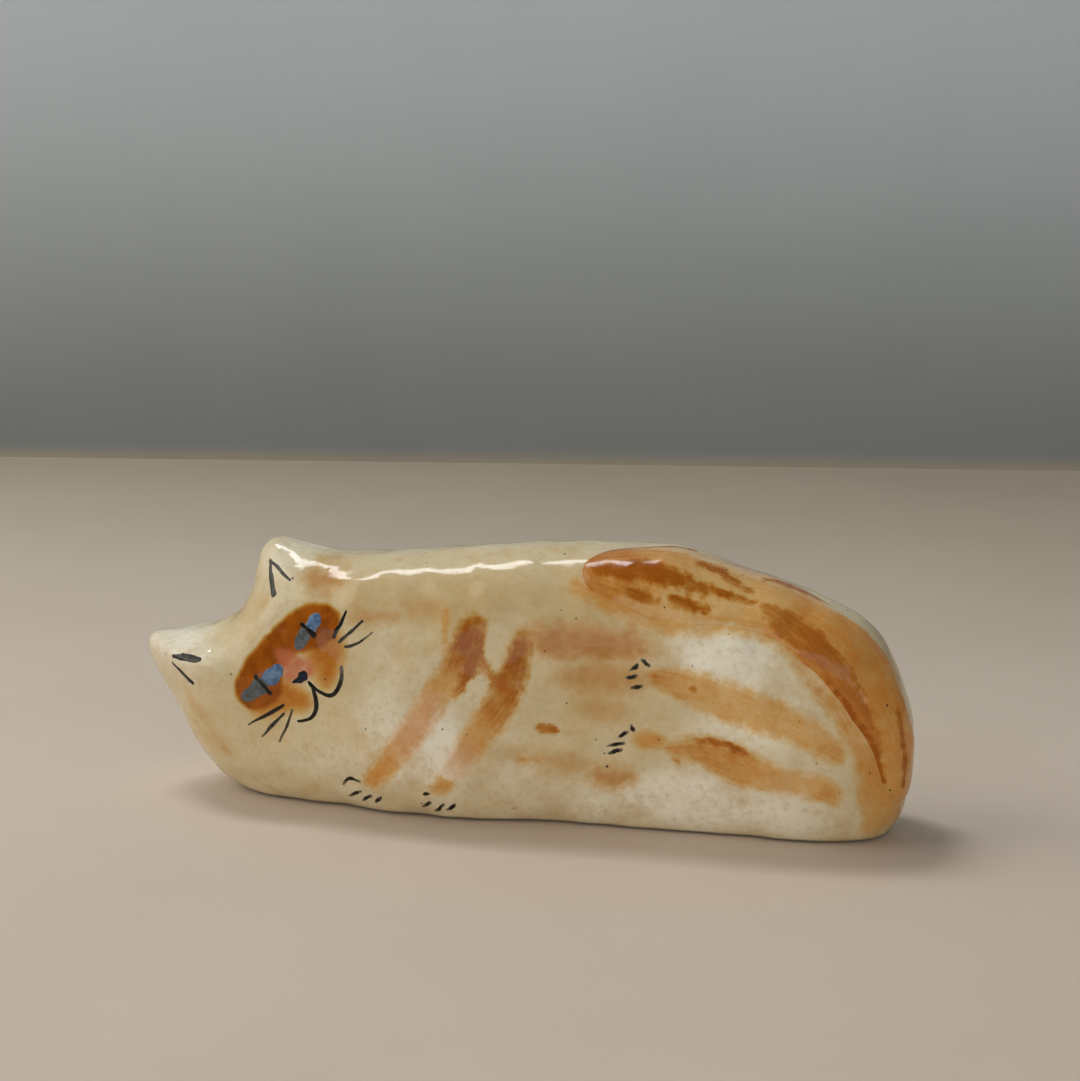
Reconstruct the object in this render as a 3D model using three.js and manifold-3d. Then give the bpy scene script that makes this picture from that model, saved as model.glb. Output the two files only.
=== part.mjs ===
// A small glazed ceramic cat that lies along its belly edge: a hand-pressed slab of clay with two pinched
// ears, a tail coil laid along the back and rump, and a face, legs, claws and fur brushed on the front.
//
// Frame: millimetres, +X from the head to the rump, +Z up, and the painted front faces -Y. The origin is
// on the table, under the middle of the figurine's length.

import * as THREE from 'three';
import { mergeVertices } from 'three/addons/utils/BufferGeometryUtils.js';
import Module from 'manifold-3d';

const wasm = await Module();
wasm.setup();

// ---- Driving dimensions ----

const FRONT_DEPTH = 9; // middle plane to the front face
const BACK_DEPTH = 9; // middle plane to the back face
const EDGE_ROUNDNESS = 2.4; // exponent of the rounded edge: 2 is a plain ellipse, more is squarer
const SPINE_SHARE = 0.6; // length of the slab's flat middle line, as a share of the cat's length
const SPINE_HEIGHT = 13.5; // height of that middle line above the table
const EAR_THINNING = 0.45; // how much thinner the pinched ears are than the head
const EAR_PINCH_RADIUS = 4;
const CLAY_GAP = 0.3; // clearance between the body and everything laid on it
const BRUSH_GAP = 0.15; // clearance between neighbouring brush marks
const BRUSH_THICKNESS = 0.3;
const SLIVER = 0.03; // facets thinner than this are merged into their neighbours
const MARK_INNER_DEPTH = 2; // brush marks reach no nearer than this to the middle plane

// Landmarks of the cat's outline, [x, z] seen from the front, clockwise from the lower ear. The points
// below the table plane shape the rounded lower edge before the foot is cut flat.
const OUTLINE = [
  // lower ear, its rounded tip and its upper edge
  [-40.0, 14.9], [-39.5, 15.8], [-38.1, 16.0], [-35.6, 16.4], [-32.5, 17.2],
  // valley between the ears
  [-29.8, 18.8], [-28.0, 21.4],
  // upper ear
  [-27.3, 24.2], [-26.8, 25.7], [-25.6, 26.5], [-23.6, 26.2],
  // nape, back and the fall to the rump
  [-19.4, 25.3], [-14.7, 25.3], [-10.0, 25.9], [-0.2, 27.0], [9.8, 27.5], [17.0, 27.3], [23.3, 25.7],
  [30.3, 23.5], [36.2, 20.0],
  // rump
  [39.3, 14.0], [40.2, 8.0], [39.2, 2.2], [36.6, -1.0],
  // belly edge
  [32.0, -2.3], [20.0, -2.6], [0.0, -2.6], [-20.0, -2.4], [-28.0, -0.6],
  // cheek, up to the lower ear
  [-31.6, 1.7], [-34.4, 4.8], [-37.2, 9.7],
];
const EAR_TIPS = [[-40.5, 16.6], [-26.6, 27.4]];

// Soft swellings and hollows that fingers left in the front face: [x, z], half widths, height.
const FRONT_SWELLS = [
  { at: [-9.5, 4], spread: [10, 12], height: 2.2 },
  { at: [16, 3], spread: [16, 10], height: -0.8 },
];

// Where the outline turns back at the rump, as a share of the way round.
const RUMP_SHARE = 0.505;

// The tail starts on the back at TAIL_START and ends low on the rump at TAIL_END, as shares of the way
// round the outline. It lies between two lines, given at even steps along it as angles from the outline's
// edge: the inner line on the front face, and the outer line on or just behind the edge.
const TAIL_START = 0.29;
const TAIL_END = 0.528;
const TAIL_INNER = [-0.72, -0.87, -0.97, -0.96, -0.86, -0.85, -0.93, -0.92, -0.85, -0.68, -0.5];
const TAIL_OUTER = [-0.24, -0.04, 0.08, 0.13, 0.08, -0.05, -0.14, -0.14, -0.08, 0.02, 0.1];
const TAIL_RELIEF = [0.8, 0.85, 0.85, 0.85, 0.9, 1, 1.15, 1.25, 1.25, 1.1, 0.8]; // how far it stands out
const TAIL_ROOT = 1; // how deep its blank reaches under the body's surface, before it is cut back
const TAIL_END_ROUNDING = 0.05; // share of its length over which each end closes
const TAIL_BLUNTNESS = 0.3; // share of its width that is left at the very ends

// ---- Mesh resolution ----

const HALF_OUTLINE_STEPS = 58; // along the back, and again along the belly edge
const EDGE_STEPS = 7; // rings from the edge to the middle line, on each side
const MERGE_DISTANCE = 1e-4;
const TAIL_STEPS = 40;
const TAIL_SIDES = 14;
const STROKE_STEPS = 6;
const ROUND_END_STEPS = 3;
const BLOB_STEPS = 14;
const WASH_STEPS_PER_LANDMARK = 2;
const NORMAL_STEP = 0.002; // step in share and in angle that the surface's direction is taken over

// ---- The body's surface ----

const edgeCurve = new THREE.CatmullRomCurve3(
  OUTLINE.map(([x, z]) => new THREE.Vector3(x, 0, z)),
  true,
  'centripetal',
);
edgeCurve.arcLengthDivisions = 1200;

/** A bell that is 1 at the centre and falls off over the two half widths. */
function bell(x, z, [centreX, centreZ], [spreadX, spreadZ]) {
  return Math.exp(-(((x - centreX) / spreadX) ** 2) - ((z - centreZ) / spreadZ) ** 2);
}

function frontDepth(x, z) {
  return FRONT_SWELLS.reduce(
    (depth, { at, spread, height }) => depth + height * bell(x, z, at, spread),
    FRONT_DEPTH,
  );
}

/** Share of the full depth left by the pinch at each ear. */
function earThinning(x, z) {
  const pinch = [EAR_PINCH_RADIUS * Math.SQRT2, EAR_PINCH_RADIUS * Math.SQRT2];
  return EAR_TIPS.reduce((share, tip) => share * (1 - EAR_THINNING * bell(x, z, tip, pinch)), 1);
}

/** The place across the slab from a share of the way round: from the back to the belly, or the reverse. */
function shareAcross(share) {
  const belly = 1 - RUMP_SHARE;
  return share <= RUMP_SHARE ? 1 - (share * belly) / RUMP_SHARE : ((1 - share) * RUMP_SHARE) / belly;
}

/**
 * A point on the body. share runs once round the outline. angle is 0 on the edge, -90 degrees on the
 * front face's middle line and +90 degrees on the back's.
 */
function bodyPoint(share, angle) {
  const edge = edgeCurve.getPointAt(share);
  const across = edgeCurve.getPointAt(shareAcross(share));
  const spine = new THREE.Vector3(((edge.x + across.x) / 2) * SPINE_SHARE, 0, SPINE_HEIGHT);
  const inward = 1 - Math.abs(Math.cos(angle)) ** (2 / EDGE_ROUNDNESS);
  const swell = Math.abs(Math.sin(angle)) ** (2 / EDGE_ROUNDNESS);
  const point = edge.lerp(spine, inward);
  const depth = angle < 0 ? -frontDepth(point.x, point.z) : BACK_DEPTH;
  point.y = swell * depth * earThinning(point.x, point.z);
  return point;
}

/** The whole body before the foot is cut, moved outwards by grow along its own normals. */
function bodyGeometry(grow) {
  const around = 2 * HALF_OUTLINE_STEPS;
  const rings = 2 * EDGE_STEPS + 1;
  const positions = [];
  const faces = [];
  for (let ring = 0; ring < rings; ring++) {
    const angle = (ring / (rings - 1) - 0.5) * Math.PI;
    for (let step = 0; step < around; step++) {
      const half = step / HALF_OUTLINE_STEPS;
      const share = half <= 1 ? half * RUMP_SHARE : RUMP_SHARE + (half - 1) * (1 - RUMP_SHARE);
      positions.push(...bodyPoint(share, angle));
      if (ring === rings - 1) continue;
      const a = ring * around + step;
      const b = ring * around + ((step + 1) % around);
      faces.push(a, b, a + around, b, b + around, a + around);
    }
  }
  const rough = new THREE.BufferGeometry();
  rough.setAttribute('position', new THREE.Float32BufferAttribute(positions, 3));
  rough.setIndex(faces);
  const geometry = mergeVertices(rough, MERGE_DISTANCE);
  geometry.computeVertexNormals();
  const position = geometry.getAttribute('position');
  const normal = geometry.getAttribute('normal');
  const vertex = new THREE.Vector3();
  const outwards = new THREE.Vector3();
  for (let i = 0; i < position.count; i++) {
    vertex.fromBufferAttribute(position, i).addScaledVector(outwards.fromBufferAttribute(normal, i), grow);
    position.setXYZ(i, ...vertex);
  }
  return geometry;
}

// ---- Solids ----

function toSolid(geometry) {
  const bare = geometry.clone();
  bare.deleteAttribute('normal');
  bare.deleteAttribute('uv');
  const merged = mergeVertices(bare, MERGE_DISTANCE);
  return new wasm.Manifold(new wasm.Mesh({
    numProp: 3,
    vertProperties: new Float32Array(merged.getAttribute('position').array),
    triVerts: new Uint32Array(merged.getIndex().array),
  }));
}

function largestPiece(solid) {
  return solid.decompose().reduce((largest, body) => (body.volume() > largest.volume() ? body : largest));
}

function toGeometry(solid) {
  const mesh = solid.getMesh();
  const geometry = new THREE.BufferGeometry();
  geometry.setAttribute('position', new THREE.Float32BufferAttribute(mesh.vertProperties, 3));
  geometry.setIndex(new THREE.Uint32BufferAttribute(mesh.triVerts, 1));
  geometry.computeVertexNormals();
  return geometry;
}

const GLAZE_ROUGHNESS = 0.25;
const figurine = new THREE.Group();
figurine.name = 'ceramic_cat_figurine';

function addPiece(name, solid, color) {
  const material = new THREE.MeshStandardMaterial({ color, roughness: GLAZE_ROUGHNESS, metalness: 0 });
  const piece = new THREE.Mesh(toGeometry(solid), material);
  piece.name = name;
  figurine.add(piece);
}

// ---- Clay ----

const TABLE_HALF = 100; // half width of the block that cuts the foot flat, wider than the cat
const belowTable = toSolid(
  new THREE.BoxGeometry(2 * TABLE_HALF, 2 * TABLE_HALF, 2 * TABLE_HALF).translate(0, 0, -TABLE_HALF),
);

function clayBody() {
  return toSolid(bodyGeometry(0)).subtract(belowTable);
}

/** Direction that the body's surface faces at a point given as in bodyPoint. */
function bodyNormal(share, angle) {
  const along = bodyPoint(share + NORMAL_STEP, angle).sub(bodyPoint(share - NORMAL_STEP, angle));
  const across = bodyPoint(share, angle + NORMAL_STEP).sub(bodyPoint(share, angle - NORMAL_STEP));
  return along.cross(across).normalize();
}

/** A list of values at even steps over 0 to 1, read at a share. */
function readAt(values, share) {
  const place = share * (values.length - 1);
  const low = Math.min(Math.floor(place), values.length - 2);
  return THREE.MathUtils.lerp(values[low], values[low + 1], place - low);
}

/** How much of its width the tail has at a share of its length: all of it but at the rounded ends. */
function tailClosing(share) {
  const nearest = Math.min(Math.min(share, 1 - share) / TAIL_END_ROUNDING, 1);
  return Math.max(Math.sqrt(1 - (1 - nearest) ** 2), TAIL_BLUNTNESS);
}

/** A point round the tail's section: turn 0 is its outer line, a quarter turn its crest. */
function tailPoint(share, turn) {
  const round = THREE.MathUtils.lerp(TAIL_START, TAIL_END, share);
  const [inner, outer] = [readAt(TAIL_INNER, share), readAt(TAIL_OUTER, share)];
  const closing = tailClosing(share);
  const angle = (inner + outer) / 2 + ((outer - inner) / 2) * closing * Math.cos(turn);
  const height = turn <= Math.PI ? readAt(TAIL_RELIEF, share) * closing : TAIL_ROOT;
  return bodyPoint(round, angle).addScaledVector(bodyNormal(round, angle), height * Math.sin(turn));
}

/** The tail: a coil pressed along the body's edge, cut back to the clay's surface. */
function tailCoil(clearBody) {
  const positions = [];
  const faces = [];
  for (let row = 0; row <= TAIL_STEPS; row++) {
    for (let side = 0; side < TAIL_SIDES; side++) {
      positions.push(...tailPoint(row / TAIL_STEPS, (side / TAIL_SIDES) * 2 * Math.PI));
      if (row === TAIL_STEPS) continue;
      const a = row * TAIL_SIDES + side;
      const b = row * TAIL_SIDES + ((side + 1) % TAIL_SIDES);
      faces.push(a, b, a + TAIL_SIDES, b, b + TAIL_SIDES, a + TAIL_SIDES);
    }
  }
  const last = TAIL_STEPS * TAIL_SIDES;
  for (let side = 1; side < TAIL_SIDES - 1; side++) {
    faces.push(0, side + 1, side, last, last + side, last + side + 1);
  }
  const coil = new THREE.BufferGeometry();
  coil.setAttribute('position', new THREE.Float32BufferAttribute(positions, 3));
  coil.setIndex(faces);
  return largestPiece(toSolid(coil).subtract(clearBody).simplify(SLIVER));
}

// ---- Brush marks ----

/** Even shares from 0 to 1 in a number of steps, with leftOut of them dropped at each end. */
function evenShares(steps, leftOut) {
  return Array.from({ length: steps + 1 - 2 * leftOut }, (_, i) => (i + leftOut) / steps);
}

/** Outline of a brush stroke: a smooth centre line, its width at even steps along it, and round ends. */
function stroke(points, widths, margin = 0) {
  const line = new THREE.SplineCurve(points.map(([x, z]) => new THREE.Vector2(x, z)));
  const halfAt = (share) => readAt(widths, share) / 2 + margin;
  const edgePoint = (share, turn) => {
    const tangent = line.getTangent(share);
    const direction = Math.atan2(tangent.y, tangent.x) + turn;
    const offset = new THREE.Vector2(Math.cos(direction), Math.sin(direction));
    return line.getPoint(share).addScaledVector(offset, halfAt(share));
  };
  const shares = evenShares(STROKE_STEPS, 0);
  const turns = evenShares(ROUND_END_STEPS, 1).map((share) => Math.PI * share);
  return [
    ...shares.map((share) => edgePoint(share, -Math.PI / 2)),
    ...turns.map((turn) => edgePoint(1, turn - Math.PI / 2)),
    ...shares.reverse().map((share) => edgePoint(share, Math.PI / 2)),
    ...turns.map((turn) => edgePoint(0, turn + Math.PI / 2)),
  ];
}

/** Outline of a dab: an ellipse with its long axis tilted from +X. */
function dab([x, z], [length, width], tiltDegrees, margin = 0) {
  const tilt = THREE.MathUtils.degToRad(tiltDegrees);
  const radii = [length / 2 + margin, width / 2 + margin];
  const ellipse = new THREE.EllipseCurve(x, z, ...radii, 0, 2 * Math.PI, false, tilt);
  return ellipse.getPoints(BLOB_STEPS).slice(0, BLOB_STEPS);
}

/** Outline of a wash: a smooth closed line through its landmarks. */
function wash(points) {
  const line = new THREE.SplineCurve([...points, points[0]].map(([x, z]) => new THREE.Vector2(x, z)));
  const steps = points.length * WASH_STEPS_PER_LANDMARK;
  return line.getPoints(steps).slice(0, steps);
}

/** A solid that carries a front-view outline straight through the front half of the cat. */
function frontPrism(outline) {
  const reach = 2 * FRONT_DEPTH;
  const prism = new THREE.ExtrudeGeometry(new THREE.Shape(outline), { depth: reach, bevelEnabled: false });
  return toSolid(prism.rotateX(Math.PI / 2).translate(0, -MARK_INNER_DEPTH, 0));
}

const clearBody = toSolid(bodyGeometry(CLAY_GAP));
const brushSkin = toSolid(bodyGeometry(CLAY_GAP + BRUSH_THICKNESS)).subtract(clearBody);

/** One layer of slip that follows the clay, with room left for the marks over it and its crumbs dropped. */
function brushMark(outline, over) {
  const whole = frontPrism(outline).intersect(brushSkin);
  const cut = over.reduce((left, above) => left.subtract(frontPrism(above)), whole).simplify(SLIVER);
  return largestPiece(cut);
}

// ---- Colours ----

const CLAY = '#d9c9a6';
const TAIL_ORANGE = '#b4672a';
const DEEP_ORANGE = '#b4621c';
const CHEEK_ORANGE = '#c98a4e';
const STRIPE_ORANGE = '#c07f45';
const PALE_TAN = '#c9a877';
const PINK = '#cf9170';
const BRIGHT_BLUE = '#6f8fc0';
const GREY_BLUE = '#6d7880';
const NAVY = '#1b2433';
const BLACK = '#1e1c1a';
const GREY = '#4e4a42';

// ---- The cat ----

addPiece('clay_body', clayBody(), CLAY);
addPiece('tail_coil', tailCoil(clearBody), TAIL_ORANGE);

const outlines = new Map();

/** Adds a brush mark. Marks named in over lie over it, and were painted before it in this list. */
function paint(name, color, outlineWith, over = []) {
  outlines.set(name, outlineWith);
  const room = over.map((above) => outlines.get(above)(BRUSH_GAP));
  addPiece(name, brushMark(outlineWith(0), room), color);
}

const line = (points, widths) => (margin) => stroke(points, widths, margin);
const spot = (centre, size, tilt) => (margin) => dab(centre, size, tilt, margin);
const area = (points) => () => wash(points);

// Eyes: a bright half towards the nose side, a slash of pupil, and a shaded half.
paint('pupil_upper', BLACK, line([[-19.9, 19.4], [-18.2, 18.4]], [0.45, 0.5]));
paint('eye_upper_bright', BRIGHT_BLUE, line([[-17.9, 20.5], [-18.7, 19.3]], [0.8, 1.2]), ['pupil_upper']);
paint('eye_upper_shaded', GREY_BLUE, line([[-19.3, 18.6], [-20.3, 17.0]], [1.2, 0.6]), ['pupil_upper']);
paint('pupil_lower', BLACK, line([[-24.5, 13.7], [-23.2, 12.1]], [0.5, 0.55]));
paint('eye_lower_bright', BRIGHT_BLUE, line([[-22.3, 14.5], [-23.3, 13.6]], [1.3, 1.7]), ['pupil_lower']);
paint('eye_lower_shaded', GREY_BLUE, line([[-24.2, 12.8], [-26.3, 11.2]], [1.7, 0.6]), ['pupil_lower']);

// Nose and mouth.
paint('nose', NAVY, spot([-19.4, 14.4], [1.5, 1.3], 30));
paint(
  'mouth_upper_cheek',
  BLACK,
  line([[-18.9, 13.5], [-17.7, 12.9], [-16.5, 12.6], [-15.5, 13.3], [-15.1, 15.3]], [0.4, 0.5, 0.45, 0.35]),
  ['nose'],
);
paint(
  'mouth_lower_cheek',
  BLACK,
  line([[-18.4, 12.9], [-18.0, 11.6], [-18.3, 10.3], [-19.3, 9.7], [-20.3, 9.5]], [0.45, 0.55, 0.45, 0.3]),
  ['mouth_upper_cheek'],
);

// Pink bridge of the nose, the deep orange mask above it, and a paler cheek on each side of it.
const MUZZLE = [
  [-22.3, 16.2], [-21.0, 16.5], [-19.2, 16.3], [-17.5, 15.5], [-17.8, 14.3], [-19.3, 13.3], [-20.7, 13.4],
  [-21.4, 14.8],
];
paint('muzzle_pink', PINK, area(MUZZLE), ['nose', 'mouth_upper_cheek', 'mouth_lower_cheek']);
paint('face_mask', DEEP_ORANGE, area([
  [-16.8, 20.8], [-18.6, 21.4], [-20.3, 21.0], [-22.1, 19.7], [-24.0, 18.0], [-25.6, 16.2], [-26.4, 14.0],
  [-25.9, 12.7], [-24.6, 13.4], [-23.2, 15.0], [-22.6, 16.7], [-21.0, 17.0], [-19.4, 16.9], [-18.4, 17.7],
  [-17.3, 19.2],
]), [
  'pupil_upper', 'eye_upper_bright', 'eye_upper_shaded', 'pupil_lower', 'eye_lower_bright', 'eye_lower_shaded',
]);
paint('cheek_upper', CHEEK_ORANGE, area([
  [-17.8, 17.2], [-17.0, 17.9], [-16.1, 17.3], [-15.7, 15.8], [-15.8, 14.2], [-16.9, 13.6], [-17.2, 14.4],
  [-17.0, 15.8],
]));
paint('cheek_lower', CHEEK_ORANGE, area([
  [-22.2, 13.2], [-21.2, 13.2], [-20.4, 12.9], [-19.3, 12.6], [-19.0, 11.8], [-19.4, 10.9], [-20.8, 11.2],
  [-22.2, 11.6], [-22.6, 12.4],
]), ['eye_lower_bright', 'pupil_lower']);

// Whiskers: three at each cheek.
paint('whisker_upper_1', BLACK, line([[-16.0, 18.7], [-15.2, 21.0]], [0.35, 0.4, 0.25]));
paint('whisker_upper_2', GREY, line([[-15.3, 18.2], [-13.2, 20.1]], [0.35, 0.35, 0.25]));
paint('whisker_upper_3', GREY, line([[-14.8, 17.8], [-12.2, 19.2]], [0.3, 0.3, 0.25]));
paint('whisker_lower_1', BLACK, line([[-22.2, 10.7], [-26.0, 8.6]], [0.5, 0.5, 0.25]));
paint('whisker_lower_2', GREY, line([[-21.6, 10.2], [-24.5, 7.4]], [0.4, 0.4, 0.25]));
paint('whisker_lower_3', GREY, line([[-20.8, 10.3], [-22.4, 7.2]], [0.35, 0.35, 0.25]));

// A brushed V inside each ear.
paint('ear_mark_lower_a', GREY, line([[-34.8, 14.6], [-33.0, 14.9], [-30.9, 15.0]], [0.4, 0.75, 0.35]));
paint('ear_mark_lower_b', BLACK, line([[-34.9, 13.9], [-31.9, 12.5]], [0.35, 0.5, 0.5]),
  ['ear_mark_lower_a']);
paint('ear_mark_upper_a', GREY, line([[-25.0, 24.6], [-24.3, 23.2], [-23.5, 21.8]], [0.4, 0.6, 0.9]));
paint('ear_mark_upper_b', GREY, line([[-24.4, 24.6], [-22.0, 23.3]], [0.45, 0.35, 0.25]),
  ['ear_mark_upper_a']);

// Forelegs: two long strokes that end in paws near the belly edge.
paint('foreleg_left', STRIPE_ORANGE, line(
  [[-2.3, 19.8], [-2.9, 17.5], [-4.4, 14.1], [-6.3, 11.5], [-8.6, 8.4], [-10.8, 5.6], [-12.3, 3.9]],
  [2.8, 2.9, 2.6, 2.6, 2.4, 2.1, 1.8],
));
paint('foreleg_right', STRIPE_ORANGE, line(
  [[2.75, 18.9], [2.55, 17.0], [1.8, 14.3], [0.4, 11.8], [-1.2, 9.6], [-2.5, 7.6]],
  [2.3, 2.6, 2.7, 2.4, 2.3],
));
paint('forepaw_right', STRIPE_ORANGE, spot([-4.8, 4.1], [3.1, 2.2], 50));
paint('shoulder_streak', PALE_TAN, line([[-4.7, 21.5], [-4.5, 19.6], [-4.3, 18.0]], [0.4, 0.3]));

// Hind legs: a long stroke, and a shorter one between its paw and its heel.
paint('hind_leg_left', STRIPE_ORANGE, line(
  [[16.8, 16.1], [20.5, 15.1], [25.0, 13.9], [28.3, 12.9], [31.0, 11.7], [33.0, 10.5]],
  [2.2, 3.9, 4.0, 3.5, 3.1, 2.6],
));
paint('hind_leg_dark_fleck', DEEP_ORANGE, line([[23.5, 10.3], [25.4, 9.2]], [0.5, 0.4]));
paint('hind_leg_right', STRIPE_ORANGE, line(
  [[18.8, 9.5], [20.8, 9.2], [23.5, 8.5], [26.0, 7.5], [28.6, 6.9]],
  [2.0, 3.2, 4.2, 3.6, 2.6],
), ['hind_leg_dark_fleck']);
paint('hind_heel_right', STRIPE_ORANGE, spot([32.3, 6.2], [3.4, 2.6], -30));
paint('hind_paw_right', STRIPE_ORANGE, spot([15.5, 9.9], [2.8, 1.7], 0));

// Claws: four short dabs at each paw, [from], [to].
const CLAW_WIDTHS = [0.3, 0.45, 0.25];
const CLAWS = {
  forepaw_left: [
    [[-15.6, 3.3], [-13.9, 3.8]], [[-15.2, 1.9], [-14.0, 2.6]], [[-13.7, 1.5], [-12.9, 2.3]],
    [[-12.4, 1.4], [-11.8, 2.2]],
  ],
  forepaw_right: [
    [[-7.0, 3.0], [-6.5, 3.4]], [[-7.3, 1.6], [-6.3, 2.1]], [[-6.0, 1.1], [-5.2, 1.9]],
    [[-4.7, 1.2], [-4.0, 1.9]],
  ],
  hind_paw_left: [
    [[15.0, 18.0], [15.6, 17.5]], [[14.0, 17.0], [14.6, 17.5]], [[13.5, 16.1], [14.5, 16.4]],
    [[13.9, 15.2], [15.0, 15.4]],
  ],
  hind_paw_right: [
    [[13.8, 11.4], [14.1, 10.9]], [[12.6, 10.1], [13.4, 10.7]], [[11.6, 9.1], [13.2, 9.5]],
    [[11.7, 8.3], [12.9, 8.7]],
  ],
};
for (const [paw, dabs] of Object.entries(CLAWS)) {
  dabs.forEach((points, i) => paint(`${paw}_claw_${i + 1}`, BLACK, line(points, CLAW_WIDTHS)));
}

// Soft washes in the fur.
paint('nape_wash', PALE_TAN, spot([-17.4, 23.4], [4.0, 2.0], -10));
paint('shoulder_wash', PALE_TAN, spot([-9.2, 21.9], [3.0, 1.1], -5));
paint('flank_wash', PALE_TAN, area([
  [4.8, 20.4], [8.0, 20.9], [12.0, 20.6], [15.2, 19.8], [15.4, 18.8], [12.6, 18.2], [8.5, 17.6], [5.2, 17.6],
]));
paint('belly_spot', STRIPE_ORANGE, spot([5.5, 10.4], [2.2, 1.3], 0));
paint('belly_wash', PALE_TAN, spot([11.5, 6.0], [4.0, 2.2], -5));

export default figurine;
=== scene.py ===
# A small glazed ceramic cat, lying along its belly edge, with its face, legs and fur brushed on the front.
# Lengths are written in millimetres and turned into metres by MM. The frame is the CAD part's own: +X from
# the head to the rump, +Z up, and the painted front faces -Y. Front-view places are (x, z).

import math

import bpy
import numpy as np
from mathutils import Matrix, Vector
from mathutils.bvhtree import BVHTree


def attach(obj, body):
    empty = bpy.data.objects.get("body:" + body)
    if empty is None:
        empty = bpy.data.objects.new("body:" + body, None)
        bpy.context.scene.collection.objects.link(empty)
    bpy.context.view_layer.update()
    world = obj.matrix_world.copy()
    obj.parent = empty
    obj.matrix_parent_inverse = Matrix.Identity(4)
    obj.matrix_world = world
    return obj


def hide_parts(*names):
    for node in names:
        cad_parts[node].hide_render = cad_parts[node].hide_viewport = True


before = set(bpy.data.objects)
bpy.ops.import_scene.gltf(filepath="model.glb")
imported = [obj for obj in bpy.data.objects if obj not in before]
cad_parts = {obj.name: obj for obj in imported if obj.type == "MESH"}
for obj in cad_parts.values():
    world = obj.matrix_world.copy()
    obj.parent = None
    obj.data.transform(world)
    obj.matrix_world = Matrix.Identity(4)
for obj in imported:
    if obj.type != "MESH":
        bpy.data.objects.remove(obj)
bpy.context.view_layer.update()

MM = 0.001
SEED = 7

# ---------------------------------------------------------------- camera

# The camera stands at an azimuth and elevation from the cat and looks a little above it.
TARGET = (1.8, 0.0, 14.0)
AZIMUTH, ELEVATION, DISTANCE = 15.0, 14.0, 205.0
LOOK_YAW, LOOK_DOWN = 14.77, 10.30
FIELD_OF_VIEW = 30.0


def direction(azimuth, elevation):
    """Unit vector from the cat towards an azimuth (0 is -Y, 90 is +X) and an elevation, in degrees."""
    a, e = math.radians(azimuth), math.radians(elevation)
    return Vector((math.sin(a) * math.cos(e), -math.cos(a) * math.cos(e), math.sin(e)))


def make_camera():
    data = bpy.data.cameras.new("camera")
    data.sensor_fit = "HORIZONTAL"
    data.angle = math.radians(FIELD_OF_VIEW)
    data.clip_start = 0.01
    camera = bpy.data.objects.new("camera", data)
    camera.location = (Vector(TARGET) + direction(AZIMUTH, ELEVATION) * DISTANCE) * MM
    camera.rotation_euler = (math.radians(90 - LOOK_DOWN), 0.0, math.radians(LOOK_YAW))
    bpy.context.scene.collection.objects.link(camera)
    bpy.context.scene.camera = camera


make_camera()

# ---------------------------------------------------------------- the clay body's surface

FRONT_DEPTH = 9.0
BACK_DEPTH = 9.0
EDGE_ROUNDNESS = 2.4  # exponent of the rounded edge: 2 is a plain ellipse, more is squarer
SPINE_SHARE = 0.6
SPINE_HEIGHT = 13.5
EAR_THINNING = 0.45
EAR_PINCH_SPREAD = 4.0 * math.sqrt(2)
RUMP_SHARE = 0.505

OUTLINE = [
    # lower ear
    (-40.0, 14.9), (-39.5, 15.8), (-38.1, 16.0), (-35.6, 16.4), (-32.5, 17.2),
    # valley between the ears, then the upper ear
    (-29.8, 18.8), (-28.0, 21.4), (-27.3, 24.2), (-26.8, 25.7), (-25.6, 26.5), (-23.6, 26.2),
    # nape, back and the fall to the rump
    (-19.4, 25.3), (-14.7, 25.3), (-10.0, 25.9), (-0.2, 27.0), (9.8, 27.5), (17.0, 27.3), (23.3, 25.7),
    (30.3, 23.5), (36.2, 20.0),
    # rump
    (39.3, 14.0), (40.2, 8.0), (39.2, 2.2), (36.6, -1.0),
    # belly edge, below the table until the foot is pressed flat
    (32.0, -2.3), (20.0, -2.6), (0.0, -2.6), (-20.0, -2.4), (-28.0, -0.6),
    # cheek
    (-31.6, 1.7), (-34.4, 4.8), (-37.2, 9.7),
]
EAR_TIPS = [(-40.5, 16.6), (-26.6, 27.4)]

# Swellings and hollows left by fingers in the front face: x, z, half widths, height.
FRONT_SWELLS = [
    (-9.5, 4.0, 10.0, 12.0, 2.2),
    (16.0, 3.0, 16.0, 10.0, -0.8),
]
FOOT_ROUNDING = 0.5  # how softly the belly edge turns onto the flat foot
FOOT_SINK = 0.02
FOOT_LINE_AND_SHADOW = 0.45  # height over which the foot is drawn dark brown: bare clay where the glaze ends, and painted contact shadow where the cat meets the table
EDGE_CALM = 0.35  # share of the unevenness that is left along the outline


def closed_spline(points, per_span):
    """Places along a closed centripetal Catmull-Rom curve through the points."""
    points = np.array(points, float)
    spans = []
    for i in range(len(points)):
        p0, p1, p2, p3 = (points[(i + k) % len(points)] for k in (-1, 0, 1, 2))
        t1 = math.sqrt(np.linalg.norm(p1 - p0))
        t2 = t1 + math.sqrt(np.linalg.norm(p2 - p1))
        t3 = t2 + math.sqrt(np.linalg.norm(p3 - p2))
        t = np.linspace(t1, t2, per_span, endpoint=False)[:, None]
        a1 = (t1 - t) / t1 * p0 + t / t1 * p1
        a2 = (t2 - t) / (t2 - t1) * p1 + (t - t1) / (t2 - t1) * p2
        a3 = (t3 - t) / (t3 - t2) * p2 + (t - t2) / (t3 - t2) * p3
        b1 = (t2 - t) / t2 * a1 + t / t2 * a2
        b2 = (t3 - t) / (t3 - t1) * a2 + (t - t1) / (t3 - t1) * a3
        spans.append((t2 - t) / (t2 - t1) * b1 + (t - t1) / (t2 - t1) * b2)
    return np.concatenate(spans)


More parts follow.
